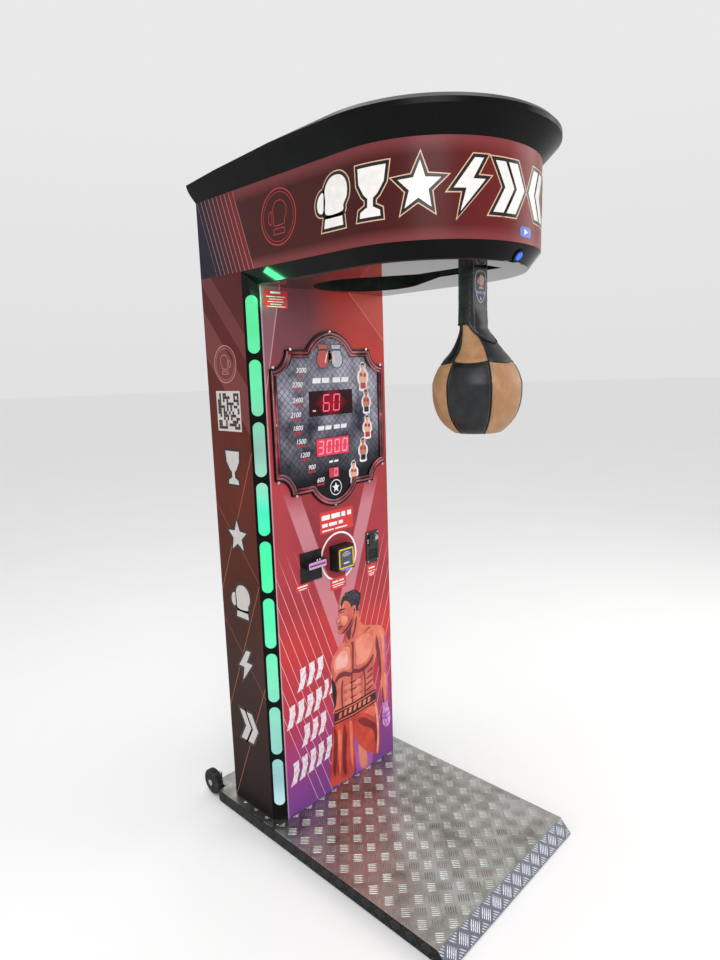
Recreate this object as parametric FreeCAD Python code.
"""Boxing punch machine: a slim column on a tread-plate platform, with a ball hung from its round head.

Millimetres. +Z up, the player stands on the -Y side, +X to the player's right. Shapes are drawn from the
column's front face (y = 0) and moved at the end, so that the origin is on the floor under the overall middle.
"""
import FreeCAD
import Part
import math
import os

Vec = FreeCAD.Vector

# Platform
PLATFORM_HALF = 350.0
PLATFORM_TOP = 46.0
RAMP_TOP_Y = -700.0
RAMP_RUN = 39.0
PLATFORM_REAR = 374.0
TREAD_SHEET = 3.0
SKIRT_LIFT = 4.0
FOOT_R = 22.0
FOOT_H = 8.0
BASE_TUBE = 25.0
# Transport wheels
WHEEL_R = 47.0
WHEEL_W = 24.0
WHEEL_HUB_HALF = 15.0
AXLE_R = 6.0
RUN_CLEARANCE = 0.09
WHEEL_MID_Z = 53.0
WHEEL_NOTCH = 32.0
# Column
COLUMN_HALF = 317.5
COLUMN_DEPTH = 254.0
CORNER = 37.5
BOARD = 18.0
TUBE = 30.0
KICK_TOP = 200.0
DOOR_TOP = 1500.0
DOOR_GAP = 2.0
HINGE_R = 5.0
HINGE_PIN_R = 2.5
HINGE_LENGTH = 90.0
LOCK_R = 9.5
POST_INSET = 12.5
# Corner lights
COVER_SHEET = 2.0
SLOT_COUNT = 9
SLOT_PITCH = 193.0
SLOT_LENGTH = 174.0
SLOT_WIDTH = 37.0
SLOT_LAST_Z = 189.0
LENS_CLEARANCE = 0.2
LENS_LIP = 1.0
LED_BOARD = 1.6
LED_GAP = 6.0
# Head
HEAD_FRONT = -739.0
SOFFIT_Z = 1848.0
SOFFIT_SHEET = 4.0
BAND_BOTTOM = 1890.0
BAND_TOP = 2123.0
HEAD_TOP = 2200.0
HEAD_WALL = 4.0
BEVEL_INSET = 34.0
CAP_FLARE = 50.0
CAP_RISE = 52.0
CAP_DROP = 34.0
CAP_CORNER = 42.0
CAP_EDGE = 12.0
CAP_WALL = 12.0
CAP_HOLLOW = 24.0
POCKET_R = 168.0
POCKET_Y = -185.0
SLOT_HALF = 51.0
SLOT_FRONT_Y = -640.0
SLOT_TAPER_Y = -430.0
LINER = 3.0
LINER_TOP = 2068.0
RAIL_IN = 200.0
RAIL_W = 40.0
RAIL_FRONT_Y = -620.0
HANGER_T = 24.0
HANGER_INSET = 43.5
# Swing
PIVOT_Y = -586.0
PIVOT_Z = 1935.0
SHAFT_R = 12.5
SHAFT_HALF = 112.0
BEARING_X = 76.0
BEARING_W = 28.0
HUB_R = 27.0
HUB_HALF = 40.0
ARM_R = 16.0
ARM_LENGTH = 408.0
BALL_R = 123.0
BALL_NECK_R = 50.0
BALL_NECK_TOP = 175.0
BALL_FORWARD = 7.0
SLEEVE_W = 90.0
SLEEVE_T = 48.0
SLEEVE_BACK = 6.0
SLEEVE_TOP_Z = 1875.0
CATCH_X = (24.0, 32.0)
CATCH_LENGTH = 52.0
VANE_R = 29.0
# Score board
BOARD_MID_Z = 1419.0
BEZEL_T = 6.0
BEZEL_W = 26.0
PLATE_T = 3.0
DISPLAYS = ((204.0, 83.0, 1479.0), (160.0, 63.0, 1329.0), (50.0, 37.0, 1237.0))
# Payment units: middle x, middle z, width, height
BILL = (-124.0, 927.0, 95.0, 105.0)
CARD = (8.0, 932.0, 84.0, 88.0)
COIN = (186.0, 928.0, 66.0, 120.0)
PAY_PLATE_T = 4.0
MOUTH = (83.0, 25.0, 36.0)
CARD_T = 42.0
BUTTON_R = 9.0
CASH_WIDTH = 200.0
CASH_TOP = 260.0
CASH_SHEET = 2.0
# Power supply: width, height
POWER = (150.0, 60.0)
# Start button
START_R = 14.0
START_Y = -718.0
START_TRAVEL = 3.0
FIT = 0.3

HEAD_MID_Y = HEAD_FRONT + COLUMN_HALF
INNER_HALF = COLUMN_HALF - BOARD
FRONT_HALF = COLUMN_HALF - CORNER
REAR_IN = COLUMN_DEPTH - BOARD
FRAME_TOP = BAND_BOTTOM + 12.0
CAP_FRONT = HEAD_FRONT - CAP_FLARE
WHEEL_Y = PLATFORM_REAR
WHEEL_X = PLATFORM_HALF - WHEEL_HUB_HALF
WHEEL_BACK = WHEEL_Y + WHEEL_R
ORIGIN_Y = (CAP_FRONT + WHEEL_BACK) / 2
FRONT_POST_Y = CORNER + POST_INSET
REAR_POST_Y = REAR_IN - TUBE - 2
POST_INNER = INNER_HALF - TUBE
LOCK_X = INNER_HALF - 50.0
LOCK_INNER_Y = REAR_POST_Y - 4.0
LOCK_Z = (KICK_TOP + DOOR_TOP) / 2
HINGE_X = -INNER_HALF
HINGE_Y = COLUMN_DEPTH + HINGE_R + 1
LATCH_Y = PIVOT_Y - 92.0
LATCH_Z = PIVOT_Z + 62.0
VANE_X = -(BEARING_X + BEARING_W / 2 + 8)
START_SLOPE = BEVEL_INSET / (BAND_BOTTOM - SOFFIT_Z)
START_Z = BAND_BOTTOM - (START_Y - HEAD_FRONT) / START_SLOPE
START_AXIS = Vec(0, -1, -START_SLOPE).normalize()
START_POINT = Vec(0, START_Y, START_Z)
FLAP_TOP = COIN[1] - 13.0
SERVICE_LOW = COIN[1] - COIN[3] / 2 - 6
SERVICE_HIGH = COIN[1] + COIN[3] / 2 + 12


def box(x, y, z):
    """A block between the two values given for each axis."""
    low = Vec(min(x), min(y), min(z))
    return Part.makeBox(abs(x[1] - x[0]), abs(y[1] - y[0]), abs(z[1] - z[0]), low)


def rod(radius, start, end):
    """A cylinder from one point to another."""
    start, end = Vec(*start), Vec(*end)
    return Part.makeCylinder(radius, (end - start).Length, start, end - start)


def fuse(*shapes):
    """All shapes joined into one solid."""
    return shapes[0].multiFuse(list(shapes[1:])).removeSplitter()


def mirror(shape):
    """The same shape on the other side of the machine."""
    return shape.mirror(Vec(0, 0, 0), Vec(1, 0, 0))


def both(shape):
    """A shape and its mirror image as two solids."""
    return [shape, mirror(shape)]


def prism_yz(points, x0, x1):
    """An outline in Y and Z, drawn out along X."""
    face = Part.Face(Part.makePolygon([Vec(x0, y, z) for y, z in points + points[:1]]))
    return face.extrude(Vec(x1 - x0, 0, 0))


def prism_xy(points, z0, z1):
    """An outline in X and Y, drawn out along Z."""
    face = Part.Face(Part.makePolygon([Vec(x, y, z0) for x, y in points + points[:1]]))
    return face.extrude(Vec(0, 0, z1 - z0))


def write(name, *solids):
    """Moves the solids to the part's own origin and exports them as one node."""
    shape = solids[0] if len(solids) == 1 else Part.makeCompound(list(solids))
    shape = shape.copy()
    shape.translate(Vec(0, -ORIGIN_Y, 0))
    shape.exportStep("parts/" + name + ".step")


# Platform


def platform_hull(inset):
    """The platform's outside, or the space inside it when inset is the sheet thickness."""
    half, top, rear = PLATFORM_HALF - inset, PLATFORM_TOP - inset, PLATFORM_REAR - inset
    bottom = SKIRT_LIFT if inset == 0 else SKIRT_LIFT - 1
    nose = RAMP_TOP_Y - RAMP_RUN + inset * 1.6
    outline = [(nose, bottom), (RAMP_TOP_Y + inset * 0.4, top), (rear, top), (rear, bottom)]
    hull = prism_yz(outline, -half, half)
    notch = WHEEL_NOTCH + inset
    corner = box((PLATFORM_HALF - notch, PLATFORM_HALF + 1),
                 (PLATFORM_REAR - WHEEL_R - 6 - inset, PLATFORM_REAR + 1), (0, PLATFORM_TOP + 1))
    return hull.cut(fuse(corner)).cut(mirror(corner))


def tread_plate():
    return platform_hull(0).cut(platform_hull(TREAD_SHEET))


def base_frame():
    """Two side runners, four cross tubes and two wheel arms under the plate."""
    top = PLATFORM_TOP - TREAD_SHEET
    low = top - BASE_TUBE
    side = PLATFORM_HALF - WHEEL_NOTCH - TREAD_SHEET - 4
    front, rear = RAMP_TOP_Y + 30, PLATFORM_REAR - TREAD_SHEET
    runner = box((side - BASE_TUBE, side), (front, rear), (low, top))
    tubes = [runner, mirror(runner)]
    for y in (front, -330.0, TUBE, rear - BASE_TUBE):
        tubes.append(box((-side, side), (y, y + BASE_TUBE), (low, top)))
    return fuse(*tubes)


def base_feet():
    top = PLATFORM_TOP - TREAD_SHEET - BASE_TUBE
    x = PLATFORM_HALF - WHEEL_NOTCH - TREAD_SHEET - 4 - BASE_TUBE / 2
    feet = []
    for y in (RAMP_TOP_Y + 70, -200.0, PLATFORM_REAR - 90):
        foot = fuse(rod(FOOT_R, (x, y, 0), (x, y, FOOT_H)), rod(FOOT_R / 2, (x, y, FOOT_H), (x, y, top)))
        feet += both(foot)
    return feet


def wheel():
    """A solid rubber wheel on a bored hub."""
    half = WHEEL_W / 2
    tyre = rod(WHEEL_R, (WHEEL_X - half, WHEEL_Y, WHEEL_MID_Z), (WHEEL_X + half, WHEEL_Y, WHEEL_MID_Z))
    rim = tyre.makeFillet(5.0, [e for e in tyre.Edges if abs(e.Length - 2 * math.pi * WHEEL_R) < 1])
    hub = rod(WHEEL_R * 0.45, (WHEEL_X - WHEEL_HUB_HALF, WHEEL_Y, WHEEL_MID_Z),
              (WHEEL_X + WHEEL_HUB_HALF - 4, WHEEL_Y, WHEEL_MID_Z))
    bore = rod(AXLE_R + RUN_CLEARANCE, (WHEEL_X - 40, WHEEL_Y, WHEEL_MID_Z), (WHEEL_X + 40, WHEEL_Y, WHEEL_MID_Z))
    return fuse(rim, hub).cut(bore)


def wheel_axle():
    """A lug on the platform's rear edge with the axle bolt, its head outside the wheel."""
    inner = PLATFORM_HALF - WHEEL_NOTCH - TREAD_SHEET - 4
    inside = WHEEL_X - WHEEL_HUB_HALF - FIT
    lug = fuse(box((inner + TREAD_SHEET + 4 + FIT, inside), (WHEEL_Y - 17, WHEEL_Y + 17),
                   (PLATFORM_TOP - 30, WHEEL_MID_Z + 15)),
               box((inner - 14, inside), (PLATFORM_REAR + FIT, WHEEL_Y + 17),
                   (PLATFORM_TOP - 30, WHEEL_MID_Z + 15)))
    bolt = rod(AXLE_R, (inside - 2, WHEEL_Y, WHEEL_MID_Z), (PLATFORM_HALF, WHEEL_Y, WHEEL_MID_Z))
    head_x = WHEEL_X + WHEEL_W / 2 + FIT
    head = rod(AXLE_R * 1.9, (head_x, WHEEL_Y, WHEEL_MID_Z), (PLATFORM_HALF + 2, WHEEL_Y, WHEEL_MID_Z))
    return fuse(lug, bolt, head)


# Column


def column_outline(inset=0.0):
    """The column seen from above."""
    half, front = COLUMN_HALF - inset, FRONT_HALF - inset * 0.4
    return [(-half, CORNER + inset * 0.4), (-front, inset), (front, inset), (half, CORNER + inset * 0.4),
            (half, COLUMN_DEPTH), (-half, COLUMN_DEPTH)]


def side_board():
    """The right side board."""
    return box((INNER_HALF, COLUMN_HALF), (CORNER, COLUMN_DEPTH), (PLATFORM_TOP, BAND_BOTTOM))


def column_frame():
    """Four uprights with rails that carry the boards and the head."""
    uprights = []
    for y in (FRONT_POST_Y, REAR_POST_Y):
        post = box((INNER_HALF - TUBE, INNER_HALF), (y, y + TUBE), (PLATFORM_TOP, FRAME_TOP))
        uprights += both(post)
    rails = []
    for z in (PLATFORM_TOP, KICK_TOP - TUBE, 1060.0, FRAME_TOP - TUBE):
        rails.append(box((-INNER_HALF + TUBE, INNER_HALF - TUBE), (FRONT_POST_Y, FRONT_POST_Y + TUBE), (z, z + TUBE)))
        rail = box((INNER_HALF - TUBE, INNER_HALF), (FRONT_POST_Y, REAR_IN - 2), (z, z + TUBE))
        rails += both(rail)
    for z in (PLATFORM_TOP, DOOR_TOP + 10, FRAME_TOP - TUBE):
        rails.append(box((-INNER_HALF + TUBE, INNER_HALF - TUBE), (REAR_POST_Y, REAR_IN - 2), (z, z + TUBE)))
    pads = []
    for z in (PLATFORM_TOP, KICK_TOP - TUBE, 1060.0, FRAME_TOP - TUBE):
        pads.append(box((-220, -160), (BOARD, CORNER + 13), (z, z + TUBE)))
        pads.append(box((120, 146), (BOARD, CORNER + 13), (z, z + TUBE)))
    for z in (PLATFORM_TOP + 20, 130.0, DOOR_TOP + 10, FRAME_TOP - TUBE - 15):
        for x in (-240, 200):
            pads.append(box((x, x + 40), (REAR_IN - 3, REAR_IN), (z, z + TUBE - 5)))
    stiles = []
    for x in (-240, 200):
        stiles.append(box((x, x + 40), (REAR_POST_Y, REAR_IN - 2), (PLATFORM_TOP, KICK_TOP - 25)))
    return fuse(*(uprights + rails + pads + stiles))


def front_panel():
    """The front: three boards butted under one printed film, with the cut-outs."""
    levels = (PLATFORM_TOP, SERVICE_LOW, SERVICE_HIGH, BAND_BOTTOM)
    boards = [front_board(low, high) for low, high in zip(levels, levels[1:])]
    return Part.makeCompound(boards)


def front_board(low, high):
    panel = box((-FRONT_HALF, FRONT_HALF), (0, BOARD), (low, high))
    for width, height, z in DISPLAYS:
        panel = panel.cut(box((-width / 2 - 4, width / 2 + 4), (-1, BOARD + 1),
                              (z - height / 2 - 4, z + height / 2 + 4)))
    for x, z, width, height in (BILL, CARD, COIN):
        panel = panel.cut(box((x - width / 2 + 8, x + width / 2 - 8), (-1, BOARD + 1),
                              (z - height / 2 + 8, z + height / 2 - 8)))
    return panel


def rear_panels():
    kick = box((-INNER_HALF, INNER_HALF), (REAR_IN, COLUMN_DEPTH), (PLATFORM_TOP, KICK_TOP - DOOR_GAP))
    kick = kick.cut(box((-24, 24), (REAR_IN - 1, COLUMN_DEPTH + 1), (108, 148)))
    top = box((-INNER_HALF, INNER_HALF), (REAR_IN, COLUMN_DEPTH), (DOOR_TOP + DOOR_GAP, BAND_BOTTOM))
    for row in range(5):
        for col in range(7):
            x, z = (col - 3) * 16.0, 1700 + (row - 2) * 16.0
            top = top.cut(rod(4.5, (x, REAR_IN - 1, z), (x, COLUMN_DEPTH + 1, z)))
    return kick, top


def rear_door():
    door = box((-INNER_HALF + DOOR_GAP, INNER_HALF - DOOR_GAP), (REAR_IN, COLUMN_DEPTH), (KICK_TOP, DOOR_TOP))
    return door.cut(rod(LOCK_R, (LOCK_X, REAR_IN - 1, LOCK_Z), (LOCK_X, COLUMN_DEPTH + 1, LOCK_Z)))


def hinge(z):
    """A fixed leaf with two knuckles and a pin, and a moving leaf with the middle knuckle."""
    third = HINGE_LENGTH / 3
    pin = rod(HINGE_PIN_R, (HINGE_X, HINGE_Y, z), (HINGE_X, HINGE_Y, z + HINGE_LENGTH))
    fixed = [pin, box((-COLUMN_HALF + 1, HINGE_X - 4), (COLUMN_DEPTH, COLUMN_DEPTH + 2), (z, z + HINGE_LENGTH))]
    for low in (z, z + 2 * third):
        fixed.append(rod(HINGE_R, (HINGE_X, HINGE_Y, low), (HINGE_X, HINGE_Y, low + third)))
        fixed.append(box((HINGE_X - 5, HINGE_X), (COLUMN_DEPTH, COLUMN_DEPTH + 3), (low, low + third)))
    low, high = z + third + FIT, z + 2 * third - FIT
    knuckle = rod(HINGE_R, (HINGE_X, HINGE_Y, low), (HINGE_X, HINGE_Y, high))
    leaf = box((HINGE_X + 6, HINGE_X + 40), (COLUMN_DEPTH, COLUMN_DEPTH + 2), (z + 4, z + HINGE_LENGTH - 4))
    web = box((HINGE_X, HINGE_X + 7), (COLUMN_DEPTH + 0.4, COLUMN_DEPTH + 2.4), (low, high))
    bore = rod(HINGE_PIN_R + RUN_CLEARANCE, (HINGE_X, HINGE_Y, z), (HINGE_X, HINGE_Y, z + HINGE_LENGTH))
    return fuse(*fixed), fuse(knuckle, web, leaf).cut(bore)


def door_lock():
    """A lock barrel through the door with a round flange outside."""
    barrel = rod(LOCK_R, (LOCK_X, LOCK_INNER_Y, LOCK_Z), (LOCK_X, COLUMN_DEPTH, LOCK_Z))
    flange = rod(LOCK_R + 4, (LOCK_X, COLUMN_DEPTH, LOCK_Z), (LOCK_X, COLUMN_DEPTH + 3, LOCK_Z))
    bore = rod(3 + RUN_CLEARANCE, (LOCK_X, LOCK_INNER_Y - 1, LOCK_Z), (LOCK_X, COLUMN_DEPTH - 8, LOCK_Z))
    return fuse(barrel, flange).cut(bore)


def lock_cam():
    """A flat cam on its spindle, pointing up while the lock is open."""
    y = LOCK_INNER_Y - FIT
    spindle = rod(3, (LOCK_X, y - 6, LOCK_Z), (LOCK_X, COLUMN_DEPTH - 9, LOCK_Z))
    cam = box((LOCK_X - 7, LOCK_X + 7), (y - 3, y), (LOCK_Z - 7, LOCK_Z + 32))
    return fuse(spindle, cam)


# Corner lights


def corner_cover():
    """The right slotted corner cover, folded round the corner's edges."""
    depth = COVER_SHEET * math.sqrt(2)
    outline = [(FRONT_HALF, 0), (COLUMN_HALF, CORNER), (INNER_HALF, CORNER),
               (INNER_HALF, CORNER - COVER_SHEET), (COLUMN_HALF - COVER_SHEET - depth, CORNER - COVER_SHEET),
               (FRONT_HALF + COVER_SHEET, COVER_SHEET + depth), (FRONT_HALF + COVER_SHEET, BOARD),
               (FRONT_HALF, BOARD)]
    cover = prism_xy(outline, PLATFORM_TOP, BAND_BOTTOM)
    for z in slot_heights():
        cover = cover.cut(corner_slot(z, SLOT_LENGTH, SLOT_WIDTH, -1, COVER_SHEET + 1))
    return cover


def slot_heights():
    return [SLOT_LAST_Z + i * SLOT_PITCH for i in range(SLOT_COUNT)]


def corner_slot(z, length, width, start, end):
    """A round-ended block square to the right corner face, from start to end behind that face."""
    mid = Vec((FRONT_HALF + COLUMN_HALF) / 2, CORNER / 2, z)
    inward = Vec(-1, 1, 0).normalize()
    across = Vec(1, 1, 0).normalize()
    solids = []
    half = (length - width) / 2
    for shift in (-half, half):
        solids.append(Part.makeCylinder(width / 2, end - start, mid + inward * start + Vec(0, 0, shift), inward))
    corners = [mid + inward * start + across * a * width / 2 + Vec(0, 0, b * half)
               for a, b in ((-1, -1), (1, -1), (1, 1), (-1, 1))]
    solids.append(Part.Face(Part.makePolygon(corners + corners[:1])).extrude(inward * (end - start)))
    return fuse(*solids)


def corner_lenses():
    """Milky lenses that stand a little proud of their slots, each with a lip behind the cover."""
    lenses = []
    for z in slot_heights():
        front = corner_slot(z, SLOT_LENGTH - 2 * LENS_CLEARANCE, SLOT_WIDTH - 2 * LENS_CLEARANCE, -1, COVER_SHEET)
        lip = corner_slot(z, SLOT_LENGTH + 2 * LENS_LIP, SLOT_WIDTH + 2 * LENS_LIP, COVER_SHEET, COVER_SHEET + 2)
        lenses.append(fuse(front, lip))
    return lenses


def led_board():
    """The right LED strip, held off the cover by bosses between the lenses."""
    back = COVER_SHEET + 2 + LED_GAP
    bottom, top = SLOT_LAST_Z - SLOT_LENGTH / 2, slot_heights()[-1] + SLOT_LENGTH / 2
    mid = Vec((FRONT_HALF + COLUMN_HALF) / 2, CORNER / 2, 0)
    inward = Vec(-1, 1, 0).normalize()
    across = Vec(1, 1, 0).normalize()
    corners = [mid + inward * back + across * a * 9 + Vec(0, 0, z)
               for a, z in ((-1, bottom), (1, bottom), (1, top), (-1, top))]
    solids = [Part.Face(Part.makePolygon(corners + corners[:1])).extrude(inward * LED_BOARD)]
    for z in slot_heights()[:-1]:
        start = mid + inward * COVER_SHEET + Vec(0, 0, z + SLOT_PITCH / 2)
        solids.append(Part.makeCylinder(3, back - COVER_SHEET + 0.5, start, inward))
    return fuse(*solids)


# Head


def head_plan(bottom_half, top_half, z0, z1, rear):
    """The head's outline, straight at the back and round in front, widening from z0 to z1."""
    front = Part.makeCone(bottom_half, top_half, z1 - z0, Vec(0, HEAD_MID_Y, z0)) if bottom_half != top_half \
        else Part.makeCylinder(bottom_half, z1 - z0, Vec(0, HEAD_MID_Y, z0))
    points = [(-bottom_half, z0), (bottom_half, z0), (top_half, z1), (-top_half, z1)]
    face = Part.Face(Part.makePolygon([Vec(x, HEAD_MID_Y, z) for x, z in points + points[:1]]))
    return fuse(front, face.extrude(Vec(0, rear - HEAD_MID_Y, 0)))


def marquee_band():
    outside = head_plan(COLUMN_HALF, COLUMN_HALF, BAND_BOTTOM, BAND_TOP, COLUMN_DEPTH)
    inner = COLUMN_HALF - HEAD_WALL
    return outside.cut(head_plan(inner, inner, BAND_BOTTOM - 1, BAND_TOP + 1, COLUMN_DEPTH - HEAD_WALL))


def lower_bevel():
    """The sloping skirt under the band, with a lip that the soffit is screwed to."""
    z0 = SOFFIT_Z + SOFFIT_SHEET
    slope = BEVEL_INSET / (BAND_BOTTOM - SOFFIT_Z)
    half = COLUMN_HALF - BEVEL_INSET + SOFFIT_SHEET * slope
    outside = head_plan(half, COLUMN_HALF, z0, BAND_BOTTOM, CORNER)
    wall = HEAD_WALL * math.sqrt(1 + slope * slope)
    inside = head_plan(half - wall, COLUMN_HALF - wall, z0, BAND_BOTTOM, CORNER + 1)
    hole = head_plan(half - 18, half - 18, z0 - 1, BAND_BOTTOM + 1, CORNER + 1)
    lip = head_plan(half - 2, half - 2, z0, z0 + 3, CORNER + 1)
    skirt = fuse(outside.cut(inside), lip.common(outside)).cut(hole)
    skirt = skirt.cut(prism_xy(column_outline(), SOFFIT_Z, BAND_BOTTOM + 1))
    return skirt.cut(start_bore())


def soffit():
    half = COLUMN_HALF - BEVEL_INSET
    plate = head_plan(half, half, SOFFIT_Z, SOFFIT_Z + SOFFIT_SHEET, CORNER)
    plate = plate.cut(prism_xy(column_outline(), SOFFIT_Z - 1, BAND_BOTTOM))
    return plate.cut(keyhole(0, SOFFIT_Z - 1, SOFFIT_Z + SOFFIT_SHEET + 1))


def keyhole(grow, z0, z1):
    """The teardrop opening for the ball and its arm, made wider all round by grow."""
    radius, half = POCKET_R + grow, SLOT_HALF + grow
    dx, dy = half, SLOT_TAPER_Y - POCKET_Y
    reach = math.hypot(dx, dy)
    turn = math.atan2(dy, dx) + math.acos(radius / reach)
    tangent = (radius * math.cos(turn), POCKET_Y + radius * math.sin(turn))
    front = SLOT_FRONT_Y - grow
    right = [(half, front), (half, SLOT_TAPER_Y), tangent, (0, POCKET_Y)]
    outline = right + [(-x, y) for x, y in reversed(right[:-1])]
    return fuse(prism_xy(outline, z0, z1), Part.makeCylinder(radius, z1 - z0, Vec(0, POCKET_Y, z0)))


def pocket_liner():
    """A moulded tray over the opening that keeps the ball away from the works."""
    z0 = SOFFIT_Z + SOFFIT_SHEET
    tray = keyhole(LINER, z0, LINER_TOP + LINER).cut(keyhole(0, z0 - 1, LINER_TOP))
    for side in (-1, 1):
        tray = tray.cut(rod(SHAFT_R + 3, (side * (SLOT_HALF - 5), PIVOT_Y, PIVOT_Z),
                            (side * (SLOT_HALF + 10), PIVOT_Y, PIVOT_Z)))
    catch = box((CATCH_X[0] - 3, CATCH_X[1] + 3), (SLOT_FRONT_Y - LINER - 2, SLOT_FRONT_Y + 2),
                (PIVOT_Z - 38, PIVOT_Z + 70))
    return tray.cut(catch)


def head_interior(z0, z1):
    """The clear space inside the band."""
    half = COLUMN_HALF - HEAD_WALL - 6
    return head_plan(half, half, z0, z1, COLUMN_DEPTH - HEAD_WALL - 6)


def head_frame():
    """Two long rails off the column, a forked carrier plate in front and a rear tie."""
    rail_out = RAIL_IN + RAIL_W
    round_y = HEAD_MID_Y - math.sqrt((COLUMN_HALF - HEAD_WALL) ** 2 - rail_out ** 2)
    rail_front = max(RAIL_FRONT_Y, round_y + 3)
    rail = box((RAIL_IN, rail_out), (rail_front, COLUMN_DEPTH - 30), (FRAME_TOP, FRAME_TOP + RAIL_W))
    tie = box((-rail_out, rail_out), (REAR_POST_Y, REAR_IN - 2), (FRAME_TOP, FRAME_TOP + RAIL_W))
    plate = box((-rail_out, rail_out), (-705, PIVOT_Y + 70), (FRAME_TOP - 6, FRAME_TOP))
    plate = plate.cut(keyhole(LINER + 1, FRAME_TOP - 10, FRAME_TOP + 1))
    plate = plate.common(head_interior(FRAME_TOP - 10, FRAME_TOP))
    hanger = []
    for y in (-400.0, -60.0):
        side = COLUMN_HALF - HANGER_INSET
        drop = box((side - HANGER_T, side), (y, y + 30), (SOFFIT_Z + SOFFIT_SHEET + 3, FRAME_TOP + 20))
        ear = box((side - HANGER_T - 15, COLUMN_HALF - HEAD_WALL), (y, y + 30), (FRAME_TOP + 10, FRAME_TOP + 20))
        hanger += both(fuse(drop, ear).common(head_interior(SOFFIT_Z, BAND_TOP)))
    for y in (-300.0, 40.0):
        cross = box((POCKET_R + LINER, RAIL_IN + 5), (y, y + 30), (FRAME_TOP, FRAME_TOP + 25))
        hanger += both(cross)
    return fuse(rail, mirror(rail), tie, plate, *hanger)


def top_cap():
    """The glossy flared lid."""
    half = COLUMN_HALF + CAP_FLARE
    lower = head_plan(COLUMN_HALF, half, BAND_TOP, BAND_TOP + CAP_RISE, COLUMN_DEPTH)
    lid = fuse(lower, head_plan(half, half, BAND_TOP + CAP_RISE, HEAD_TOP - CAP_EDGE, COLUMN_DEPTH),
               head_plan(half, half - CAP_EDGE, HEAD_TOP - CAP_EDGE, HEAD_TOP, COLUMN_DEPTH))
    keep = box((-half - 1, half + 1), (CAP_FRONT - 1, COLUMN_DEPTH), (BAND_TOP, HEAD_TOP))
    corners = [e for e in keep.Edges if abs(e.CenterOfMass.y - COLUMN_DEPTH) < 1 and abs(e.CenterOfMass.x) > half]
    keep = keep.makeFillet(CAP_CORNER, corners)
    lid = lid.common(keep)
    slope = [(HEAD_MID_Y, HEAD_TOP), (COLUMN_DEPTH + 1, HEAD_TOP - CAP_DROP), (COLUMN_DEPTH + 1, HEAD_TOP + 20),
             (HEAD_MID_Y, HEAD_TOP + 20)]
    lid = lid.cut(prism_yz(slope, -half - 5, half + 5))
    slope = CAP_FLARE / CAP_RISE
    inner = head_plan(COLUMN_HALF - CAP_WALL - slope, COLUMN_HALF - CAP_WALL + CAP_HOLLOW * slope,
                      BAND_TOP - 1, BAND_TOP + CAP_HOLLOW, COLUMN_DEPTH - CAP_WALL)
    return lid.cut(inner)


# Swing


def bearing_block():
    """The right pillow block on the carrier plate."""
    x = (BEARING_X - BEARING_W / 2, BEARING_X + BEARING_W / 2)
    foot = box(x, (PIVOT_Y - 42, PIVOT_Y + 42), (FRAME_TOP, FRAME_TOP + 12))
    body = rod(28, (x[0], PIVOT_Y, PIVOT_Z), (x[1], PIVOT_Y, PIVOT_Z))
    neck = box(x, (PIVOT_Y - 24, PIVOT_Y + 24), (FRAME_TOP, PIVOT_Z))
    bore = rod(SHAFT_R + RUN_CLEARANCE, (x[0] - 1, PIVOT_Y, PIVOT_Z), (x[1] + 1, PIVOT_Y, PIVOT_Z))
    return fuse(foot, body, neck).cut(bore)


def pivot_shaft():
    return rod(SHAFT_R, (-SHAFT_HALF, PIVOT_Y, PIVOT_Z), (SHAFT_HALF, PIVOT_Y, PIVOT_Z))


def punch_arm():
    """Hub, arm tube, catch tab for the latch, and the flange that the ball is laced over."""
    hub = rod(HUB_R, (-HUB_HALF, PIVOT_Y, PIVOT_Z), (HUB_HALF, PIVOT_Y, PIVOT_Z))
    bottom = PIVOT_Z - ARM_LENGTH - 40
    tube = rod(ARM_R, (0, PIVOT_Y, PIVOT_Z), (0, PIVOT_Y, bottom))
    flange = rod(38, (0, PIVOT_Y, bottom - 6), (0, PIVOT_Y, bottom))
    tab = box(CATCH_X, (PIVOT_Y - 9, PIVOT_Y + 9), (PIVOT_Z, PIVOT_Z + CATCH_LENGTH))
    bore = rod(SHAFT_R, (-SHAFT_HALF, PIVOT_Y, PIVOT_Z), (SHAFT_HALF, PIVOT_Y, PIVOT_Z))
    return fuse(hub, tube, flange, tab).cut(bore)


def arm_sleeve():
    """The padded sleeve round the arm."""
    mid = PIVOT_Y + SLEEVE_BACK
    bottom = PIVOT_Z - ARM_LENGTH + BALL_NECK_TOP
    pad = box((-SLEEVE_W / 2, SLEEVE_W / 2), (mid - SLEEVE_T / 2, mid + SLEEVE_T / 2), (bottom, SLEEVE_TOP_Z))
    pad = pad.makeFillet(18.0, [e for e in pad.Edges if abs(e.Length - (SLEEVE_TOP_Z - bottom)) < 0.1])
    return pad.cut(rod(ARM_R, (0, PIVOT_Y, PIVOT_Z), (0, PIVOT_Y, bottom - 1)))


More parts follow.
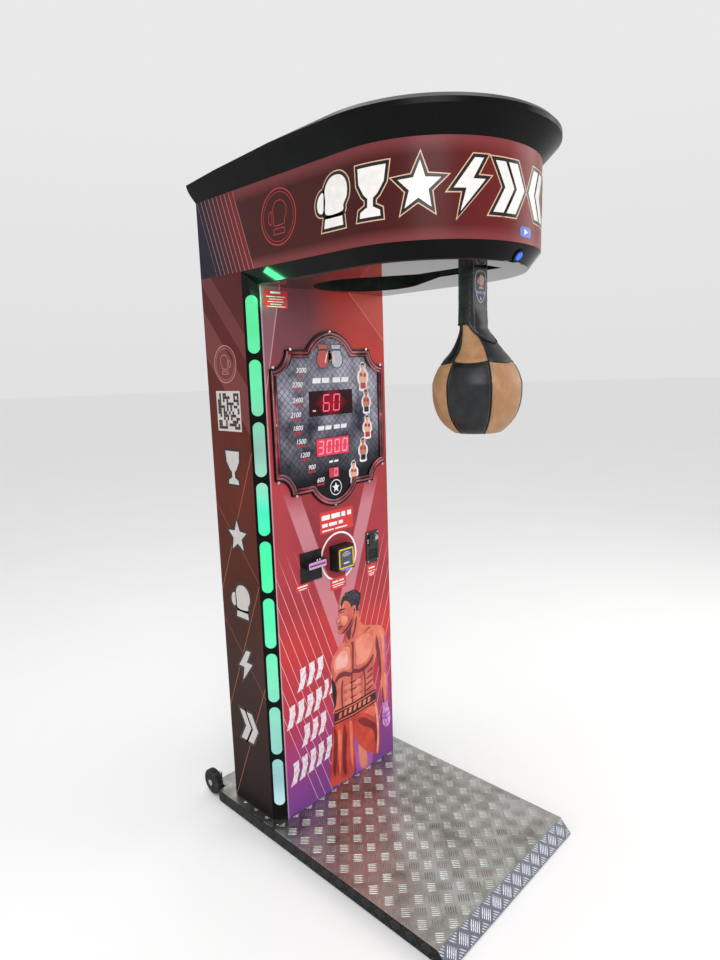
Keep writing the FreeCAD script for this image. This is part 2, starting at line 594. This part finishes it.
def punch_ball():
    """The pear-shaped ball, flat underneath, with its neck under the sleeve."""
    def at(radius, height):
        return Vec(radius, PIVOT_Y - BALL_FORWARD, PIVOT_Z - ARM_LENGTH + height)

    r = BALL_R
    neck, top = BALL_NECK_R, BALL_NECK_TOP
    shoulder, chin, base = at(0.84 * r, 0.63 * r), at(0.84 * r, -0.66 * r), at(0.45 * r, -r)
    edges = [Part.makeLine(at(0, top), at(neck, top)),
             Part.Arc(at(neck, top), at(0.62 * r, 0.96 * r), shoulder).toShape(),
             Part.Arc(shoulder, at(r, 0), chin).toShape(),
             Part.Arc(chin, at(0.68 * r, -0.86 * r), base).toShape(),
             Part.makeLine(base, at(0, -r)),
             Part.makeLine(at(0, -r), at(0, top))]
    face = Part.Face(Part.Wire(edges))
    ball = face.revolve(at(0, 0), Vec(0, 0, 1), 360)
    return ball.cut(punch_arm())


# Latch and sensor


def latch_pawl():
    """A hooked lever in front of the shaft that swings under the catch tab."""
    pivot = rod(7, (CATCH_X[0], LATCH_Y, LATCH_Z), (CATCH_X[1], LATCH_Y, LATCH_Z))
    lever = box(CATCH_X, (LATCH_Y - 6, LATCH_Y + 6), (LATCH_Z - 84, LATCH_Z))
    hook = box(CATCH_X, (LATCH_Y - 6, LATCH_Y + 16), (LATCH_Z - 94, LATCH_Z - 84))
    bore = rod(3 + RUN_CLEARANCE, (0, LATCH_Y, LATCH_Z), (60, LATCH_Y, LATCH_Z))
    return fuse(pivot, lever, hook).cut(bore)


def latch_bracket():
    """A bracket on the carrier plate with the pawl's pin and the solenoid that pulls the pawl."""
    post = box((CATCH_X[1] + FIT, CATCH_X[1] + 5), (LATCH_Y - 14, LATCH_Y + 14), (FRAME_TOP, LATCH_Z + 12))
    pin = rod(3, (CATCH_X[0] - 2, LATCH_Y, LATCH_Z), (CATCH_X[1] + 5, LATCH_Y, LATCH_Z))
    coil = rod(13, (CATCH_X[1] + 18, LATCH_Y - 12, PIVOT_Z), (CATCH_X[1] + 18, LATCH_Y + 22, PIVOT_Z))
    saddle = box((CATCH_X[1] + 4, CATCH_X[1] + 31), (LATCH_Y - 12, LATCH_Y + 12), (FRAME_TOP, PIVOT_Z - 8))
    return fuse(post, pin, coil, saddle)


def stop_buffer():
    """A rubber block under the liner roof that the padded arm comes to rest on."""
    low = PIVOT_Z + SLEEVE_T / 2 + SLEEVE_BACK + 8
    return box((-30, 30), (PIVOT_Y + 130, PIVOT_Y + 190), (low, LINER_TOP))


def sensor_vane():
    """A slotted sector on the shaft end that cuts the sensor's light beam."""
    disc = rod(VANE_R, (VANE_X - 1, PIVOT_Y, PIVOT_Z), (VANE_X + 1, PIVOT_Y, PIVOT_Z))
    disc = disc.common(box((VANE_X - 2, VANE_X + 2), (PIVOT_Y - 40, PIVOT_Y + 40),
                           (PIVOT_Z - SHAFT_R - 4, PIVOT_Z + 40)))
    collar = rod(SHAFT_R + 4, (VANE_X - 5, PIVOT_Y, PIVOT_Z), (VANE_X + 5, PIVOT_Y, PIVOT_Z))
    return fuse(disc, collar).cut(rod(SHAFT_R, (VANE_X - 9, PIVOT_Y, PIVOT_Z), (VANE_X + 9, PIVOT_Y, PIVOT_Z)))


def speed_sensor():
    """A forked light barrier on a post from the carrier plate."""
    y = PIVOT_Y + 52
    top = PIVOT_Z + 6
    fork = box((VANE_X - 8, VANE_X + 8), (PIVOT_Y + 20, y), (PIVOT_Z - 8, top))
    fork = fork.cut(box((VANE_X - 2.5, VANE_X + 2.5), (PIVOT_Y + 18, PIVOT_Y + 42), (PIVOT_Z - 9, top + 1)))
    post = box((VANE_X - 8, VANE_X + 8), (PIVOT_Y + 44, y), (FRAME_TOP, PIVOT_Z))
    return fuse(fork, post)


# Start button


def start_bore():
    return Part.makeCylinder(START_R + 1, 30, START_POINT + START_AXIS * -15, START_AXIS)


def start_button():
    """The lit plunger, domed a little outside the bevel."""
    start = START_POINT + START_AXIS * -12
    cap = Part.makeCylinder(START_R - 3, 12 + 6, start, START_AXIS)
    rim = [e for e in cap.Edges if e.CenterOfMass.sub(START_POINT + START_AXIS * 6).Length < 1]
    return cap.makeFillet(2.5, rim)


def start_housing():
    """The button's bezel ring and its switch body behind the bevel."""
    ring = Part.makeCylinder(START_R + 4, 3, START_POINT, START_AXIS)
    sleeve = Part.makeCylinder(START_R + 1, 18, START_POINT + START_AXIS * -18, START_AXIS)
    bore = Part.makeCylinder(START_R - 3 + FIT, 30, START_POINT + START_AXIS * (-12 - START_TRAVEL - FIT), START_AXIS)
    return fuse(ring, sleeve).cut(bore)


# Score board


def board_outline(grow):
    """The score board's face: arched top and bottom, stepped shoulders and scooped corners."""
    def at(x, z):
        return Vec(x, 0, BOARD_MID_Z + z)

    def quarter(sx, sz):
        a, b = at(sx * 0, sz * (301 + grow)), at(sx * (108 + grow * 0.4), sz * (238 + grow))
        c, e = at(sx * (196 + grow), sz * (238 + grow)), at(sx * (262 + grow), sz * (178 + grow * 0.4))
        f = at(sx * (262 + grow), 0)
        return [Part.Arc(a, at(sx * 62, sz * (282 + grow)), b).toShape(), Part.makeLine(b, c),
                Part.Arc(c, at(sx * (216 + grow * 0.7), sz * (194 + grow * 0.7)), e).toShape(), Part.makeLine(e, f)]

    edges = quarter(1, 1) + quarter(1, -1) + quarter(-1, -1) + quarter(-1, 1)
    return Part.Wire(Part.sortEdges(edges)[0])


def board_slab(grow, y0, y1):
    face = Part.Face(board_outline(grow))
    slab = face.extrude(Vec(0, y1 - y0, 0))
    slab.translate(Vec(0, y0, 0))
    return slab


def screw_spots():
    """Where the score board's screws stand."""
    right = [(176, 239), (250, 183), (250, 2)]
    spots = [(0, 296), (0, -296)]
    for x, z in right:
        spots += [(x, z), (-x, z)] if z == 2 else [(x, z), (-x, z), (x, -z), (-x, -z)]
    return [(x, BOARD_MID_Z + z) for x, z in spots]


def score_bezel():
    """The moulded border, screwed to the panel."""
    return board_slab(0, -BEZEL_T, 0).cut(board_slab(-BEZEL_W, -BEZEL_T - 1, 1))


def score_plate():
    plate = board_slab(-BEZEL_W - FIT / 3, -PLATE_T, 0)
    for width, height, z in DISPLAYS:
        plate = plate.cut(box((-width / 2 - FIT, width / 2 + FIT), (-9, 1),
                              (z - height / 2 - FIT, z + height / 2 + FIT)))
    return plate


def display_windows():
    """Three tinted windows with a lip behind the score plate."""
    windows = []
    for width, height, z in DISPLAYS:
        front = box((-width / 2, width / 2), (-PLATE_T - 1, 0), (z - height / 2, z + height / 2))
        lip = box((-width / 2 - 3.5, width / 2 + 3.5), (0, 3), (z - height / 2 - 3.5, z + height / 2 + 3.5))
        windows.append(fuse(front, lip))
    return windows


def display_boards():
    """The display boards against the panel's back, with the digit blocks reaching to the windows."""
    boards = []
    for width, height, z in DISPLAYS:
        back = box((-width / 2 - 14, width / 2 + 14), (BOARD, BOARD + 2), (z - height / 2 - 14, z + height / 2 + 14))
        digits = box((-width / 2 + 2, width / 2 - 2), (3, BOARD + 1), (z - height / 2 + 2, z + height / 2 - 2))
        boards.append(fuse(back, digits))
    return boards


def screw(x, z, head_r, front_y):
    """A domed screw head standing on a face, with its shank behind."""
    head = rod(head_r, (x, front_y - 2, z), (x, front_y, z))
    outer = [e for e in head.Edges if abs(e.CenterOfMass.y - front_y + 2) < 0.1 and e.Length > head_r]
    return head.makeFillet(1.2, outer)


# Payment


def bill_bezel():
    """The acceptor's face plate with its lit mouth."""
    x, z, width, height = BILL
    plate = box((x - width / 2, x + width / 2), (-PAY_PLATE_T, 0), (z - height / 2, z + height / 2))
    lip_w, lip_h, reach = MOUTH
    mouth = box((x - lip_w / 2 + 8, x + lip_w / 2 + 8), (-reach, 0), (z + 11 - lip_h / 2, z + 11 + lip_h / 2))
    mouth = mouth.makeFillet(6.0, [e for e in mouth.Edges if abs(e.CenterOfMass.y + reach) < 0.1])
    slot = box((x - 26, x + 42), (-reach - 1, 20), (z + 8, z + 14))
    return fuse(plate, mouth).cut(slot)


def bill_validator():
    """The note path and stacker behind the panel."""
    x, z, width, height = BILL
    body = box((x - width / 2 + 9, x + width / 2 - 9), (0, 130), (z - height / 2 + 9, z + height / 2 - 9))
    return body.cut(box((x - 26, x + 42), (-1, 20), (z + 8, z + 14)))


def card_reader():
    x, z, width, height = CARD
    shell = box((x - width / 2, x + width / 2), (-CARD_T, 0), (z - height / 2, z + height / 2))
    shell = shell.makeFillet(5.0, [e for e in shell.Edges if abs(e.CenterOfMass.y + CARD_T) < 0.1])
    shell = shell.cut(box((x - 33, x + 33), (-CARD_T - 1, -CARD_T + 3), (z - 33, z + 33)))
    return fuse(shell, box((x - 25, x + 25), (-1, 60), (z - 25, z + 25)))


def card_screen():
    x, z = CARD[:2]
    return box((x - 33 + FIT, x + 33 - FIT), (-CARD_T + 1, -CARD_T + 3), (z - 33 + FIT, z + 33 - FIT))


def coin_plate():
    """The coin unit's face plate, with its slot, button bore and return cup."""
    x, z, width, height = COIN
    plate = box((x - width / 2, x + width / 2), (-PAY_PLATE_T, 0), (z - height / 2, z + height / 2))
    plate = fuse(plate, box((x - 20, x + 4), (-PAY_PLATE_T - 6, 0), (z + 8, z + 48)))
    plate = plate.cut(box((x - 10, x - 7), (-20, 1), (z + 14, z + 43)))
    plate = plate.cut(rod(BUTTON_R + FIT, (x + 16, -20, z + 34), (x + 16, 1, z + 34)))
    return plate.cut(box((x - 22.5, x + 22.5), (-20, 1), (z - 46, z - 10)))


def coin_reject_button():
    x, z = COIN[0] + 16, COIN[1] + 34
    return rod(BUTTON_R, (x, -PAY_PLATE_T - 8, z), (x, 0.5, z))


def coin_return_flap():
    """The flap hangs from its pin in front of the return cup."""
    x = COIN[0]
    leaf = box((x - 19.5, x + 19.5), (-3, -0.5), (COIN[1] - 45.5, FLAP_TOP))
    barrel = rod(2.0, (x - 19.5, -1.75, FLAP_TOP), (x + 19.5, -1.75, FLAP_TOP))
    return fuse(leaf, barrel).cut(rod(1.2 + RUN_CLEARANCE, (x - 21, -1.75, FLAP_TOP), (x + 21, -1.75, FLAP_TOP)))


def coin_mechanism():
    """The coin unit behind the plate, with the flap's pin and the return cup."""
    x, z = COIN[:2]
    body = box((x - 24, x + 24), (5, 70), (z - 4, z + 51))
    body = body.cut(box((x - 10, x - 7), (4, 40), (z + 14, z + 43)))
    frame = box((x - 24, x + 24), (0, 5), (z + 47, z + 51))
    cup = box((x - 23, x + 23), (0, 60), (z - 51, z - 4))
    cup = cup.cut(box((x - 20.5, x + 20.5), (-1, 57), (z - 46, z - 7)))
    pin = rod(1.2, (x - 21, -1.75, FLAP_TOP), (x + 21, -1.75, FLAP_TOP))
    ears = [box((x + a, x + a + 1.5), (-2.95, 4), (FLAP_TOP - 2, FLAP_TOP + 2)) for a in (-22, 20.5)]
    return fuse(body, frame, cup, pin, *ears)


def coin_chute():
    """The sheet chute that guides coins down to the cash box."""
    x, z = COIN[0], COIN[1]
    points = [(22.0, z - 51), (60.0, z - 51), (140.0, CASH_TOP + 5), (100.0, CASH_TOP + 5)]
    chute = prism_yz(points, x - 20, x + 20)
    hollow = prism_yz([(25.0, z - 50), (57.0, z - 50), (137.0, CASH_TOP + 4), (103.0, CASH_TOP + 4)], x - 18, x + 18)
    return chute.cut(hollow)


def cash_box():
    """An open steel box on the chassis floor under the chute."""
    right = POST_INNER - 9.5
    front, rear = FRONT_POST_Y + TUBE + 8, REAR_POST_Y - 4
    outside = box((right - CASH_WIDTH, right), (front, rear), (PLATFORM_TOP, CASH_TOP))
    return outside.cut(box((right - CASH_WIDTH + CASH_SHEET, right - CASH_SHEET),
                           (front + CASH_SHEET, rear - CASH_SHEET), (PLATFORM_TOP + CASH_SHEET, CASH_TOP + 1)))


# Electrics


def control_board():
    """The game board on spacers on the left side board."""
    x = -INNER_HALF
    board = box((x + 10, x + 12), (90, 195), (1150, 1330))
    legs = [rod(4, (x, y, z), (x + 10.5, y, z)) for y in (100, 185) for z in (1160, 1320)]
    chips = [box((x + 12, x + 20), (110, 140), (1180, 1220)), box((x + 12, x + 26), (150, 185), (1240, 1300))]
    return fuse(board, *(legs + chips))


def power_supply():
    """The power supply on the chassis floor."""
    left = -POST_INNER + 29.5
    width, height = POWER
    return box((left, left + width), (FRONT_POST_Y + TUBE + 16, REAR_POST_Y - 8),
               (PLATFORM_TOP, PLATFORM_TOP + height))


def mains_inlet():
    """A flanged inlet with three blades, sunk in the rear kick panel."""
    body = box((-23.5, 23.5), (REAR_IN - 20, COLUMN_DEPTH), (108.5, 147.5))
    flange = box((-29, 29), (COLUMN_DEPTH, COLUMN_DEPTH + 3), (102, 154))
    socket = box((-13, 13), (COLUMN_DEPTH - 16, COLUMN_DEPTH + 4), (119, 137))
    blades = [box((x - 1, x + 1), (COLUMN_DEPTH - 17, COLUMN_DEPTH - 2), (126, 131)) for x in (-7, 0, 7)]
    return fuse(fuse(body, flange).cut(socket), *blades)


def speaker():
    """A round speaker behind the grille of the rear top panel."""
    ring = rod(62, (0, REAR_IN - 6, 1700), (0, REAR_IN, 1700))
    cone = Part.makeCone(22, 52, 34, Vec(0, REAR_IN - 40, 1700), Vec(0, 1, 0))
    magnet = rod(36, (0, REAR_IN - 58, 1700), (0, REAR_IN - 38, 1700))
    hollow = Part.makeCone(18, 48, 34, Vec(0, REAR_IN - 34, 1700), Vec(0, 1, 0))
    return fuse(ring, cone, magnet).cut(hollow)


def export_all():
    os.makedirs("parts", exist_ok=True)
    write("base_tread_plate", tread_plate())
    write("base_frame", base_frame())
    write("base_feet", *base_feet())
    write("wheel_right", wheel())
    write("wheel_left", mirror(wheel()))
    write("wheel_axles", *(both(wheel_axle())))
    write("column_frame", column_frame())
    write("column_side_right", side_board())
    write("column_side_left", mirror(side_board()))
    kick, top = rear_panels()
    write("rear_kick_panel", kick)
    write("rear_top_panel", top)
    write("rear_door", rear_door())
    hinges = [hinge(z) for z in (KICK_TOP + 80, LOCK_Z - HINGE_LENGTH / 2, DOOR_TOP - 80 - HINGE_LENGTH)]
    write("door_hinge_pins", *[fixed for fixed, leaf in hinges])
    write("door_hinge_leaves", *[leaf for fixed, leaf in hinges])
    write("door_lock", door_lock())
    write("lock_cam", lock_cam())
    write("front_panel", front_panel())
    write("led_cover_right", corner_cover())
    write("led_cover_left", mirror(corner_cover()))
    lenses = corner_lenses()
    write("led_diffusers_right", *lenses)
    write("led_diffusers_left", *[mirror(lens) for lens in lenses])
    write("led_boards", *both(led_board()))
    write("score_bezel", score_bezel())
    write("score_plate", score_plate())
    write("display_windows", *display_windows())
    write("display_boards", *display_boards())
    write("score_screws", *[screw(x, z, 5, -BEZEL_T) for x, z in screw_spots()])
    write("bill_bezel", bill_bezel())
    write("bill_validator", bill_validator())
    write("card_reader", card_reader())
    write("card_screen", card_screen())
    write("coin_plate", coin_plate())
    x, z, width, height = COIN
    spots = [(x + a * (width / 2 - 6), z + b * (height / 2 - 6)) for a in (-1, 1) for b in (-1, 1)]
    write("coin_screws", *[screw(a, b, 3.5, -PAY_PLATE_T) for a, b in spots])
    write("coin_reject_button", coin_reject_button())
    write("coin_return_flap", coin_return_flap())
    write("coin_mechanism", coin_mechanism())
    write("coin_chute", coin_chute())
    write("cash_box", cash_box())
    write("control_board", control_board())
    write("power_supply", power_supply())
    write("mains_inlet", mains_inlet())
    write("speaker", speaker())
    write("head_frame", head_frame())
    write("marquee_band", marquee_band())
    write("top_cap", top_cap())
    write("lower_bevel", lower_bevel())
    write("underside_plate", soffit())
    write("pocket_liner", pocket_liner())
    write("start_button", start_button())
    write("start_button_housing", start_housing())
    write("bearing_blocks", *both(bearing_block()))
    write("pivot_shaft", pivot_shaft())
    write("punch_arm", punch_arm())
    write("arm_sleeve", arm_sleeve())
    write("punch_ball", punch_ball())
    write("latch_pawl", latch_pawl())
    write("latch_solenoid", latch_bracket())
    write("stop_buffer", stop_buffer())
    write("speed_sensor", speed_sensor())
    write("sensor_vane", sensor_vane())


export_all()
